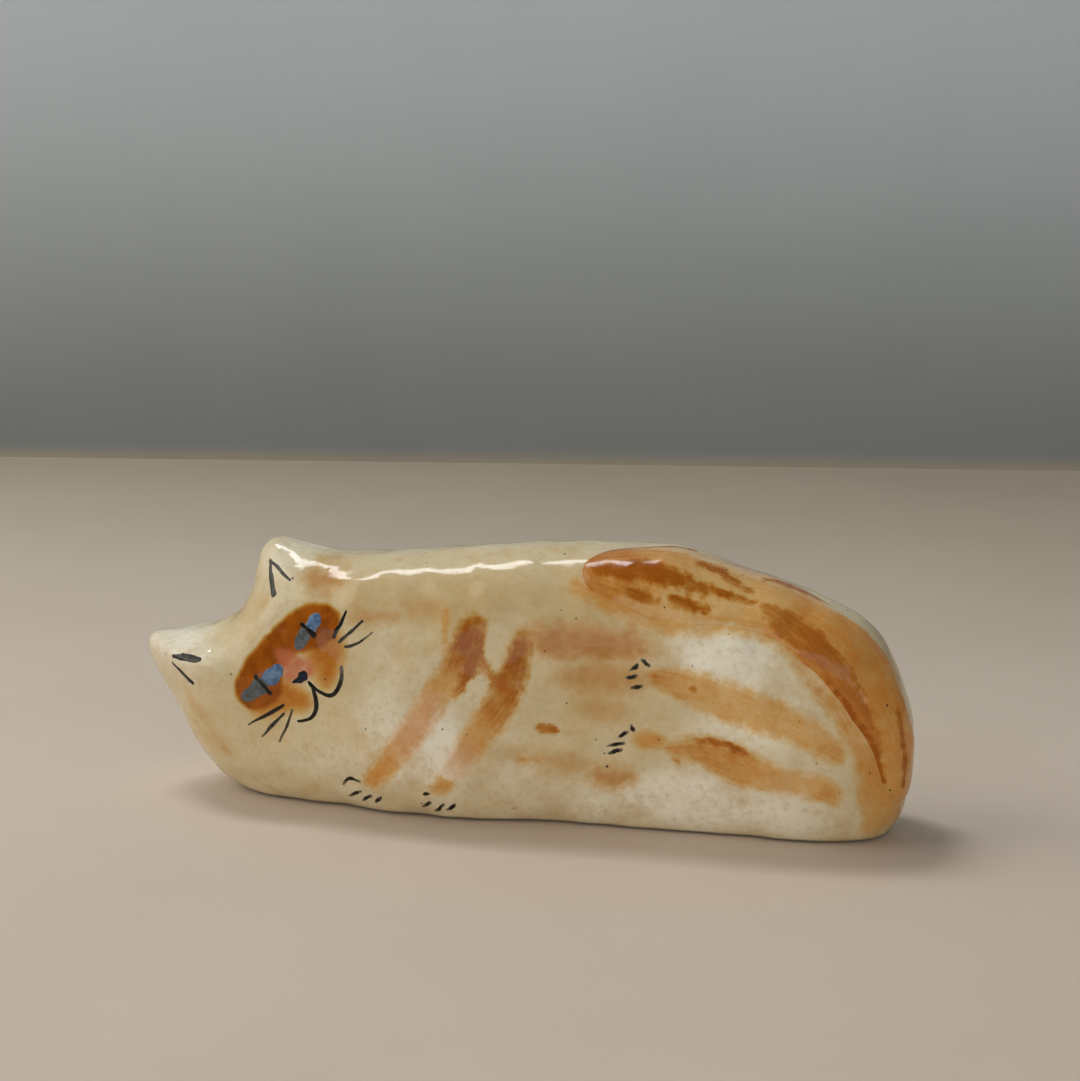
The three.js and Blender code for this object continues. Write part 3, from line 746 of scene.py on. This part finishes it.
LINES = [
    # eyes: a bright half, a shaded half, and a slash of pupil over both
    ("eye_upper_bright", [(-18.0, 20.4), (-18.5, 19.6), (-19.1, 18.7)],
     [1.2, 1.6, 1.6], "bright_blue", (1.0,)),
    ("eye_upper_shaded", [(-19.0, 19.1), (-19.6, 18.1), (-20.4, 16.9)],
     [1.6, 1.65, 1.1], "grey_blue", (1.0, 0.9, 0.7)),
    ("pupil_upper", [(-20.0, 19.5), (-19.1, 18.95), (-18.1, 18.3)], [0.4, 0.5, 0.6], "black", (1.0,)),
    ("eye_lower_bright", [(-21.8, 14.95), (-22.7, 14.2), (-23.7, 13.3)],
     [1.5, 2.0, 2.0], "bright_blue", (1.0,)),
    ("eye_lower_shaded", [(-23.6, 13.4), (-24.9, 12.3), (-26.3, 11.2)],
     [2.0, 2.05, 1.4], "grey_blue", (1.0, 0.9, 0.7)),
    ("pupil_lower", [(-24.7, 14.0), (-23.9, 13.0), (-23.0, 12.0)], [0.5, 0.6, 0.65], "black", (1.0,)),
    # nose and mouth
    ("nose", [(-20.7, 13.5), (-20.0, 13.8), (-19.5, 14.3), (-19.4, 14.9)],
     [0.4, 0.75, 1.35, 0.9], "navy", (1.0,)),
    ("mouth_upper_cheek", [(-18.9, 13.8), (-18.5, 13.4), (-17.7, 12.9), (-16.7, 12.6), (-15.9, 12.9),
                           (-15.3, 13.8), (-15.1, 14.9), (-15.2, 15.8)],
     [0.4, 0.5, 0.45, 0.5, 0.55, 0.6, 0.5, 0.45], "black", (1.0, 1.0, 1.0, 1.0, 0.9, 0.7, 0.6)),
    ("mouth_lower_cheek", [(-18.4, 13.4), (-18.0, 12.2), (-18.0, 11.1), (-18.5, 10.2), (-19.3, 9.8),
                           (-20.3, 9.6)],
     [0.5, 0.6, 0.6, 0.5, 0.45, 0.3], "black", (1.0, 1.0, 1.0, 0.9)),
    # whiskers
    ("whisker_upper_1", [(-16.3, 18.2), (-15.8, 19.4), (-15.1, 21.0)],
     [0.35, 0.65, 0.35], "black", (0.9, 1.0, 0.9)),
    ("whisker_upper_2", [(-15.7, 17.9), (-14.5, 19.0), (-13.2, 20.2)],
     [0.35, 0.45, 0.3], "grey", (0.8, 1.0, 0.8)),
    ("whisker_upper_3", [(-15.1, 17.5), (-13.6, 18.0), (-12.1, 19.2)],
     [0.3, 0.4, 0.2], "grey", (0.7, 0.8, 0.5)),
    ("whisker_lower_1", [(-21.6, 11.2), (-23.4, 10.0), (-26.0, 8.5)],
     [0.35, 0.5, 0.25], "black", (1.0, 0.9, 0.6)),
    ("whisker_lower_2", [(-21.6, 10.3), (-23.0, 8.9), (-24.6, 7.3)],
     [0.3, 0.45, 0.25], "grey", (0.8, 0.8, 0.6)),
    ("whisker_lower_3", [(-20.7, 10.8), (-21.4, 9.0), (-22.5, 6.9)],
     [0.3, 0.45, 0.25], "grey", (0.6, 0.8, 0.5)),
    # a brushed V inside each ear
    ("ear_mark_lower_a", [(-35.0, 14.7), (-33.0, 14.9), (-30.8, 15.0)],
     [0.4, 0.8, 0.45], "grey", (0.9, 1.0, 0.8)),
    ("ear_mark_lower_b", [(-35.0, 14.1), (-33.6, 13.4), (-31.8, 12.4)],
     [0.3, 0.5, 0.6], "black", (0.8, 1.0, 1.0)),
    ("ear_mark_upper_a", [(-25.1, 24.9), (-24.5, 23.4), (-23.4, 21.6)],
     [0.4, 0.65, 1.0], "grey", (1.0, 0.9, 0.8)),
    ("ear_mark_upper_b", [(-24.9, 24.6), (-23.5, 24.0), (-21.9, 23.2)],
     [0.45, 0.4, 0.3], "grey", (0.9, 0.7, 0.8)),
]

# Claws: four short dabs at each paw, each listed by the places it passes through.
CLAWS = {
    "forepaw_left": [
        [(-15.8, 3.0), (-14.9, 3.9), (-13.6, 3.7)], [(-15.4, 1.7), (-13.7, 2.6)],
        [(-13.9, 1.4), (-12.6, 2.3)], [(-12.5, 1.4), (-11.5, 2.2)],
    ],
    "forepaw_right": [
        [(-7.0, 2.9), (-6.3, 3.3)], [(-7.4, 1.4), (-6.2, 2.2)], [(-6.1, 0.9), (-5.0, 2.0)],
        [(-4.9, 1.1), (-3.9, 2.0)],
    ],
    "hind_paw_left": [
        [(14.8, 18.1), (15.8, 17.4)], [(13.8, 16.9), (14.7, 17.6)], [(13.4, 16.1), (14.6, 16.5)],
        [(13.8, 15.2), (15.2, 15.5)],
    ],
    "hind_paw_right": [
        [(13.9, 11.5), (14.2, 10.7)], [(12.5, 10.0), (13.7, 10.8)], [(11.4, 9.0), (13.3, 9.6)],
        [(11.5, 8.2), (13.0, 8.9)],
    ],
}
CLAW_WIDTHS = [0.3, 0.52, 0.4]

lines = list(LINES)
for paw, dabs in CLAWS.items():
    for number, points in enumerate(dabs, 1):
        lines.append((f"{paw}_claw_{number}", points, CLAW_WIDTHS, "black", (0.4, 0.85, 0.45)))

# ---------------------------------------------------------------- materials


def srgb(code):
    """A hex colour as linear red, green, blue and alpha."""
    values = [int(code[i:i + 2], 16) / 255 for i in (0, 2, 4)]
    return (*[v / 12.92 if v <= 0.04045 else ((v + 0.055) / 1.055) ** 2.4 for v in values], 1.0)


class Nodes:
    """Short calls for a material's nodes. An input is a number, a colour, or another node's output."""

    def __init__(self, name):
        self.material = bpy.data.materials.new(name)
        self.material.use_nodes = True
        self.tree = self.material.node_tree
        self.shader = next(n for n in self.tree.nodes if n.type == "BSDF_PRINCIPLED")

    def add(self, kind, inputs, output=0, **settings):
        node = self.tree.nodes.new("ShaderNode" + kind)
        for name, value in settings.items():
            setattr(node, name, value)
        for key, value in inputs.items():
            self.feed(node.inputs[key], value)
        return node.outputs[output]

    def feed(self, socket, value):
        if isinstance(value, bpy.types.NodeSocket):
            self.tree.links.new(value, socket)
        else:
            socket.default_value = value

    def attribute(self, name):
        return self.add("Attribute", {}, "Fac", attribute_name=name)

    def place(self):
        return self.add("TexCoord", {}, "Object")

    def math(self, operation, a, b=0.0):
        return self.add("Math", {0: a, 1: b}, operation=operation)

    def product(self, *factors):
        result = factors[0]
        for factor in factors[1:]:
            result = self.math("MULTIPLY", result, factor)
        return result

    def clamped(self, value):
        return self.add("Math", {0: value, 1: 0.0}, operation="ADD", use_clamp=True)

    def step(self, value, low, high):
        """0 below low and 1 above high, with a smooth rise between them."""
        inputs = {"Value": value, "From Min": low, "From Max": high}
        return self.add("MapRange", inputs, interpolation_type="SMOOTHSTEP")

    def between(self, value, low, high):
        """A 0 to 1 value carried onto a range."""
        return self.add("MapRange", {"Value": value, "To Min": low, "To Max": high})

    def noise(self, place, size, detail=2.0, roughness=0.5):
        """Noise whose lumps are about size millimetres."""
        inputs = {"Vector": place, "Scale": 1 / (size * MM), "Detail": detail, "Roughness": roughness}
        return self.add("TexNoise", inputs, "Fac")

    def cells(self, place, size, output):
        return self.add("TexVoronoi", {"Vector": place, "Scale": 1 / (size * MM)}, output)

    def mix(self, factor, a, b):
        return self.add("Mix", {0: factor, 6: a, 7: b}, 2, data_type="RGBA")

    def stain(self, density, below, slip):
        """A translucent colour laid over another: each filters the light that comes through the other."""
        base = self.add("Gamma", {"Color": below, "Gamma": self.math("SUBTRACT", 1.0, density)})
        film = self.add("Gamma", {"Color": slip, "Gamma": density})
        return self.add("Mix", {0: 1.0, 6: base, 7: film}, 2, data_type="RGBA", blend_type="MULTIPLY")

    def vector(self, x, y, z=0.0):
        return self.add("CombineXYZ", {0: x, 1: y, 2: z})


CREAM = srgb("dccba2")
PALE_CREAM = srgb("f7efd8")
WARM_CREAM = srgb("cdb07c")
TAN_CREAM = srgb("c9a468")
GREY_CREAM = srgb("cfc4a8")
IRON = srgb("2b1d12")
DEEP_ORANGE = srgb("a2560f")
TAN_ORANGE = srgb("d3893a")
PINK_TAN = srgb("d69064")
MASK_ORANGE = srgb("a85a0c")
MASK_DARK = srgb("8e4808")
MUZZLE_PINK = srgb("c87350")
CHEEK_ORANGE = srgb("b8691c")
FUR_TAN = srgb("bd8244")
# dark brown of the bare foot, also used as painted contact shadow
FOOT_BROWN_AND_SHADOW = srgb("4a3220")
INKS = {
    "bright_blue": (srgb("6a86a8"), srgb("4d6683")),
    "grey_blue": (srgb("666e70"), srgb("53595a")),
    "navy": (srgb("1a2434"), srgb("0e131c")),
    "black": (srgb("17130f"), srgb("2c251d")),
    "grey": (srgb("2a261f"), srgb("4a4336")),
}


def clay_colour(n, place):
    """Creamy clay under the glaze: broad warm and pale patches, some of them painted shade and painted
    highlights, fine mottling, and sparse iron specks.
    """
    tint_and_shading = n.math("ADD", n.attribute("tint_and_shading"), n.product(n.math("SUBTRACT", n.noise(place, 7.0, 4), 0.5), 2.0))
    colour = n.mix(n.step(tint_and_shading, -0.2, 1.0), CREAM, PALE_CREAM)
    colour = n.mix(n.product(n.step(tint_and_shading, 0.0, -0.9), 0.8), colour, WARM_CREAM)
    stained = n.product(n.step(n.noise(place, 5.0, 4, 0.6), 0.5, 0.72), 0.45)
    colour = n.mix(stained, colour, TAN_CREAM)
    mottled = n.product(n.step(n.noise(place, 0.7, 3, 0.6), 0.45, 0.75), 0.35)
    colour = n.mix(mottled, colour, TAN_CREAM)
    grey = n.product(n.step(n.noise(place, 0.28, 2), 0.55, 0.75), 0.25)
    return n.mix(grey, colour, GREY_CREAM)


def specks(n, place):
    """1 on the iron specks, which are small and of several sizes."""
    clustered = n.step(n.noise(place, 3.0, 2), 0.48, 0.55)
    small = n.product(n.step(n.cells(place, 1.5, "Distance"), 0.09, 0.04), clustered)
    large = n.step(n.cells(place, 3.6, "Distance"), 0.05, 0.03)
    return n.math("MAXIMUM", small, large)


def brushed(n, place, group, streak_width, streak_length, soft):
    """How densely a group of strokes covers each place, streaked along the brush, and its tone."""
    inside, load = n.attribute(f"{group}_inside"), n.attribute(f"{group}_load")
    lengthwise = n.product(n.attribute(f"{group}_along"), MM * streak_width / streak_length)
    crosswise = n.product(n.attribute(f"{group}_across"), MM)
    hairs = n.noise(n.vector(lengthwise, crosswise), streak_width, 3, 0.6)
    ragged = n.product(n.math("SUBTRACT", n.noise(place, 1.1, 3, 0.65), 0.5), 1.3)
    reach = n.math("ADD", n.math("ADD", inside, ragged), n.product(n.math("SUBTRACT", hairs, 0.5), 0.45))
    body_of_stroke = n.step(reach, -soft / 2, soft)
    streaky = n.between(n.step(hairs, 0.3, 0.68), 0.88, 1.08)
    grainy = n.between(n.noise(place, 0.3, 4, 0.7), 0.75, 1.25)
    patchy = n.product(n.between(n.step(n.noise(place, 2.2, 4, 0.65), 0.3, 0.7), 0.72, 1.15), grainy)
    density = n.clamped(n.product(body_of_stroke, load, streaky, patchy))
    return density, n.attribute(f"{group}_tone"), hairs


def slip_colour(n, tone, hairs):
    """Orange slip from thin and pinkish to deep and burnt."""
    moved = n.math("ADD", tone, n.product(n.math("SUBTRACT", hairs, 0.5), 0.3))
    thin = n.mix(n.step(moved, 0.05, 0.5), PINK_TAN, TAN_ORANGE)
    return n.mix(n.step(moved, 0.5, 1.0), thin, DEEP_ORANGE)


def washed(n, place, group, soft, raggedness):
    """How densely a group of washes covers each place, with an uneven soft edge."""
    inside, load = n.attribute(f"{group}_inside"), n.attribute(f"{group}_load")
    ragged = n.product(n.math("SUBTRACT", n.noise(place, 1.6, 3, 0.6), 0.5), raggedness)
    cover = n.step(n.math("ADD", inside, ragged), -soft / 2, soft)
    patchy = n.between(n.step(n.noise(place, 1.0, 4, 0.65), 0.3, 0.7), 0.8, 1.12)
    return n.clamped(n.product(cover, load, patchy))


GLAZE_IOR = 1.33  # lower than real glaze's, so that the pale room doesn't veil the paint
GLAZE_ROUGHNESS = (0.04, 0.15)
CLAY_ROUGHNESS = (0.32, 0.5)
GLAZE_RELIEF = 0.00006  # metres, from the glaze's lowest place to its highest
GLAZE_RELIEF_STRENGTH = 0.35
WAVES, PINHOLES, GRAIN = 2.8, 0.4, 0.12  # their shares in the glaze's relief


def glaze(n, place, colour):
    """The clear glaze over a colour: glossy, faintly wavy, with pinholes."""
    n.feed(n.shader.inputs["Base Color"], colour)
    n.feed(n.shader.inputs["Roughness"], n.between(n.noise(place, 1.5, 3), *CLAY_ROUGHNESS))
    n.shader.inputs["Specular IOR Level"].default_value = 0.0
    n.shader.inputs["Coat Weight"].default_value = 1.0
    dulled = n.step(n.noise(place, 3.0, 4, 0.6), 0.38, 0.6)
    n.feed(n.shader.inputs["Coat Roughness"], n.between(dulled, *GLAZE_ROUGHNESS))
    n.shader.inputs["Coat IOR"].default_value = GLAZE_IOR
    pinholes = n.step(n.cells(place, 0.9, "Distance"), 0.02, 0.09)
    waves = n.noise(place, 1.8, 2)
    grain = n.noise(place, 0.25, 2)
    fine = n.math("ADD", n.product(pinholes, PINHOLES), n.product(grain, GRAIN))
    height = n.math("ADD", n.product(waves, WAVES), fine)
    inputs = {"Strength": GLAZE_RELIEF_STRENGTH, "Distance": GLAZE_RELIEF, "Height": height}
    bump = n.add("Bump", inputs)
    n.feed(n.shader.inputs["Normal"], bump)
    n.feed(n.shader.inputs["Coat Normal"], bump)
    return n.material


def mask_colour(n, place):
    return n.mix(n.step(n.noise(place, 1.4, 4, 0.6), 0.35, 0.65), MASK_ORANGE, MASK_DARK)


def body_material():
    n = Nodes("painted_cream_clay")
    place = n.place()
    colour = clay_colour(n, place)
    colour = n.stain(washed(n, place, "fur", 1.8, 2.6), colour, FUR_TAN)
    density, tone, hairs = brushed(n, place, "spill", 0.4, 2.0, 1.0)
    colour = n.stain(density, colour, slip_colour(n, tone, hairs))
    density, tone, hairs = brushed(n, place, "legs", 0.35, 2.2, 0.9)
    colour = n.stain(density, colour, slip_colour(n, tone, hairs))
    density, tone, hairs = brushed(n, place, "flecks", 0.3, 2.5, 0.4)
    colour = n.stain(density, colour, slip_colour(n, tone, hairs))
    colour = n.stain(washed(n, place, "cheeks", 1.3, 1.0), colour, CHEEK_ORANGE)
    colour = n.stain(washed(n, place, "mask", 0.5, 0.5), colour, mask_colour(n, place))
    colour = n.mix(washed(n, place, "muzzle", 0.8, 0.9), colour, MUZZLE_PINK)
    colour = n.mix(n.product(specks(n, place), 0.85), colour, IRON)
    # the dark foot line: bare clay, and painted contact shadow where the cat meets the table
    colour = n.mix(n.product(n.attribute("foot"), 0.9), colour, FOOT_BROWN_AND_SHADOW)
    return glaze(n, place, colour)


def tail_material():
    n = Nodes("painted_orange_tail")
    place = n.place()
    colour = clay_colour(n, place)
    density, tone, hairs = brushed(n, place, "coat", 0.4, 4.0, 0.6)
    colour = n.stain(density, colour, slip_colour(n, tone, hairs))
    density, tone, hairs = brushed(n, place, "streaks_and_crease_shade", 0.3, 4.0, 0.5)
    colour = n.stain(density, colour, slip_colour(n, tone, hairs))
    colour = n.mix(n.product(specks(n, place), 0.85), colour, IRON)
    return glaze(n, place, colour)


def ink_material(slot, under):
    """A brush colour that thins towards the mark's edges, over the clay or over the orange mask."""
    n = Nodes(f"{slot}_over_{under}")
    place = n.place()
    below = clay_colour(n, place) if under == "clay" else mask_colour(n, place)
    full, thin = INKS[slot]
    ink = n.mix(n.step(n.noise(place, 0.5, 3), 0.35, 0.65), full, thin)
    patchy = n.between(n.noise(place, 0.35, 3, 0.6), 0.6, 1.35)
    density = n.step(n.product(n.attribute("ink"), patchy), 0.05, 0.75)
    return glaze(n, place, n.mix(density, below, ink))


def dress(piece, material):
    piece.data.materials.append(material)


dress(body, body_material())
dress(tail, tail_material())
inks = {}
for name, points, widths, slot, strength in lines:
    key = (slot, "mask" if name.startswith(("eye", "pupil")) else "clay")
    if key not in inks:
        inks[key] = ink_material(*key)
    rise = PUPIL_RISE if name.startswith("pupil") else MARK_RISE
    dress(brush_line(name, points, widths, strength, rise), inks[key])

for piece, slot, nodes in (
    (body, "cream_clay", [
        "clay_body", "face_mask", "cheek_upper", "cheek_lower", "muzzle_pink",
        "foreleg_left", "foreleg_right", "forepaw_right", "shoulder_streak",
        "hind_leg_left", "hind_leg_dark_fleck", "hind_leg_right", "hind_heel_right", "hind_paw_right",
        "nape_wash", "shoulder_wash", "flank_wash", "belly_spot", "belly_wash",
    ]),
    (tail, "tail_orange", ["tail_coil"]),
):
    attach(piece, "root")
    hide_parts(*nodes)

# ---------------------------------------------------------------- floor, wall and lights

FLOOR_HALF = 1500.0
WALL_DISTANCE = 249.0  # from the cat's middle to the foot of the wall
WALL_TURN = 9.5  # degrees that the wall is turned from the cat's length
WALL_HEIGHT = 900.0
NEAR_TABLE = (srgb("e2d3c2"), srgb("d7c6b4"))
FAR_TABLE = (srgb("b3a793"), srgb("a99d8a"))
TABLE_SHADE_FADE = (-20.0, 240.0)  # places along Y between which the table darkens towards the wall: painted shade
WALL_BASE = (srgb("8f9494"), srgb("878c8c"))
WALL = (srgb("cbd3d7"), srgb("c0c9cd"))
WALL_BLEND = (-1.0, 4.0)  # heights between which the table's colour gives way to the wall's
WALL_SHADE_FADE = (0.0, 110.0)  # heights between which the wall lightens: its darker foot is painted shade


def uneven(n, pair):
    """Two near shades of a colour, in large soft patches."""
    return n.mix(n.noise(n.place(), 40.0, 4), *pair)


def stage_material(name, colour_of):
    n = Nodes(name)
    n.feed(n.shader.inputs["Base Color"], colour_of(n))
    n.shader.inputs["Roughness"].default_value = 0.6
    n.shader.inputs["Specular IOR Level"].default_value = 0.2
    return n.material


def fade(n, axis, reach):
    """0 to 1 between two places along an axis, in millimetres."""
    place = n.add("SeparateXYZ", {0: n.place()}, axis)
    return n.step(place, reach[0] * MM, reach[1] * MM)


# painted shade: the table darker towards the wall, and the wall darker at its foot
def table_colour(n):
    return n.mix(fade(n, "Y", TABLE_SHADE_FADE), uneven(n, NEAR_TABLE), uneven(n, FAR_TABLE))


def wall_colour(n):
    wall = n.mix(fade(n, "Z", WALL_SHADE_FADE), uneven(n, WALL_BASE), uneven(n, WALL))
    return n.mix(fade(n, "Z", WALL_BLEND), uneven(n, FAR_TABLE), wall)


def stage_plane(name, corners, material):
    piece = new_object(name, corners, [(0, 1, 2, 3)])
    dress(piece, material)
    return piece


def make_stage():
    reach = FLOOR_HALF
    floor_corners = [(-reach, -reach, 0), (reach, -reach, 0), (reach, reach, 0), (-reach, reach, 0)]
    wall_corners = [(-reach, 0, 0), (reach, 0, 0), (reach, 0, WALL_HEIGHT), (-reach, 0, WALL_HEIGHT)]
    floor = stage_plane("floor", floor_corners, stage_material("pale_table", table_colour))
    wall = stage_plane("wall", wall_corners, stage_material("pale_wall", wall_colour))
    wall.location = (0, WALL_DISTANCE * MM, 0)
    wall.rotation_euler = (0, 0, math.radians(WALL_TURN))


def softbox(name, azimuth, elevation, distance, width, height, power, colour):
    """A rectangular light that faces the cat, its distance and size in millimetres."""
    data = bpy.data.lights.new(name, "AREA")
    data.shape = "RECTANGLE"
    data.size, data.size_y = width * MM, height * MM
    data.energy, data.color = power, colour
    light = bpy.data.objects.new(name, data)
    towards = direction(azimuth, elevation)
    light.location = towards * distance * MM
    light.rotation_euler = towards.to_track_quat("Z", "Y").to_euler()
    bpy.context.scene.collection.objects.link(light)


make_stage()
softbox("key", -80, 34, 1000, 900, 900, 4.6, (1.0, 0.98, 0.95))
softbox("window", 242, 35, 600, 100, 120, 1.0, (0.95, 0.98, 1.0))
softbox("sky", 236, 62, 700, 180, 260, 2.2, (0.97, 0.98, 1.0))
softbox("front_fill", 15, 0, 1300, 2300, 1300, 13.6, (1.0, 0.98, 0.95))

ROOM_STRENGTH = 0.2

world = bpy.data.worlds.new("soft_room")
world.use_nodes = True
background = world.node_tree.nodes["Background"]
background.inputs["Color"].default_value = srgb("c9ccd0")
background.inputs["Strength"].default_value = ROOM_STRENGTH
bpy.context.scene.world = world
bpy.context.scene.view_settings.view_transform = "Standard"
